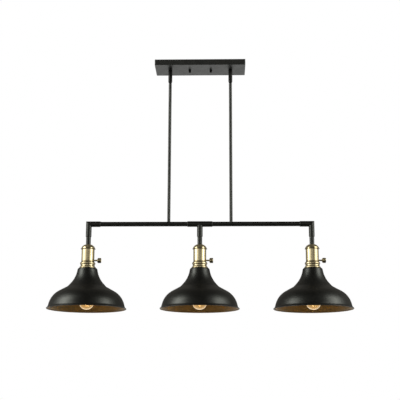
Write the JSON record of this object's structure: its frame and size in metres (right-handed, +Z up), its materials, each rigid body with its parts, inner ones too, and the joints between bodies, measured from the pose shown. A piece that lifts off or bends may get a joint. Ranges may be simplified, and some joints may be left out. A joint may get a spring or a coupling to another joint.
{
  "type": "linear island pendant light",
  "caption": "Ceiling pendant with a long flat canopy, two rods on ball swivels, and a straight pipe bar that carries bell shades with bulbs, brass holders and rotary switches.",
  "frame": {"origin": "on the ceiling, in the middle of the canopy's open rim and the bracket's top", "axes": "+X along the bar to the right as seen from the front, +Y to the back, +Z up into the ceiling"},
  "size_m": [0.9648, 0.2508, 0.8155],
  "materials": {
    "black_paint": "satin black powder coat",
    "bronze_paint": "satin dark bronze paint, warmer inside",
    "antique_brass": "brushed and lacquered antique brass",
    "shell_brass": "plain rolled brass",
    "zinc_steel": "bright zinc plating",
    "green_earth": "green passivated steel",
    "phenolic": "moulded dark phenolic",
    "base_aluminium": "rolled thin aluminium",
    "bulb_glass": "clear warm tinted glass",
    "stem_glass": "clear pressed glass"
  },
  "bodies": {
    "ceiling_mount": {"canopy": "black_paint", "mounting_bracket": "zinc_steel", "canopy_studs": "zinc_steel", "cap_nuts": "black_paint", "ground_screw": "green_earth", "swivel_nipples": "zinc_steel", "swivel_nuts": "zinc_steel", "swivel_washers": "zinc_steel", "swivel_cup_left": "black_paint", "swivel_cup_right": "black_paint"},
    "hanging_frame": {"ball_stud_left": "black_paint", "ball_stud_right": "black_paint", "downrod_left": "black_paint", "downrod_right": "black_paint", "bar_tube_left": "black_paint", "bar_tube_right": "black_paint", "elbow_left": "black_paint", "elbow_right": "black_paint", "centre_tee": "black_paint", "drop_tube_left": "black_paint", "drop_tube_centre": "black_paint", "drop_tube_right": "black_paint", "cap_locknuts": "zinc_steel", "shade_retaining_rings": "black_paint", "socket_cap_left": "antique_brass", "socket_shell_left": "antique_brass", "socket_core_left": "phenolic", "screw_shell_left": "shell_brass", "centre_contact_left": "shell_brass", "shade_ring_left": "antique_brass", "shade_left": "bronze_paint", "bulb_base_left": "base_aluminium", "bulb_glass_left": "bulb_glass", "bulb_stem_left": "stem_glass", "socket_cap_centre": "antique_brass", "socket_shell_centre": "antique_brass", "socket_core_centre": "phenolic", "screw_shell_centre": "shell_brass", "centre_contact_centre": "shell_brass", "shade_ring_centre": "antique_brass", "shade_centre": "bronze_paint", "bulb_base_centre": "base_aluminium", "bulb_glass_centre": "bulb_glass", "bulb_stem_centre": "stem_glass", "socket_cap_right": "antique_brass", "socket_shell_right": "antique_brass", "socket_core_right": "phenolic", "screw_shell_right": "shell_brass", "centre_contact_right": "shell_brass", "shade_ring_right": "antique_brass", "shade_right": "bronze_paint", "bulb_base_right": "base_aluminium", "bulb_glass_right": "bulb_glass", "bulb_stem_right": "stem_glass"},
    "knob_left": {"switch_knob_left": "antique_brass", "switch_stem_left": "antique_brass"},
    "knob_centre": {"switch_knob_centre": "antique_brass", "switch_stem_centre": "antique_brass"},
    "knob_right": {"switch_knob_right": "antique_brass", "switch_stem_right": "antique_brass"}
  },
  "joints": [
    {"name": "frame_swing", "type": "hinge", "parent": "ceiling_mount", "child": "hanging_frame", "pos_m": [0, 0, -0.061], "axis": [1, 0, 0], "range_deg": [-20, 20]},
    {"name": "knob_left_turn", "type": "hinge", "parent": "hanging_frame", "child": "knob_left", "pos_m": [-0.327, 0, -0.66], "axis": [1, 0, 0], "continuous": true},
    {"name": "knob_centre_turn", "type": "hinge", "parent": "hanging_frame", "child": "knob_centre", "pos_m": [0.03, 0, -0.66], "axis": [1, 0, 0], "continuous": true},
    {"name": "knob_right_turn", "type": "hinge", "parent": "hanging_frame", "child": "knob_right", "pos_m": [0.387, 0, -0.66], "axis": [1, 0, 0], "continuous": true}
  ]
}
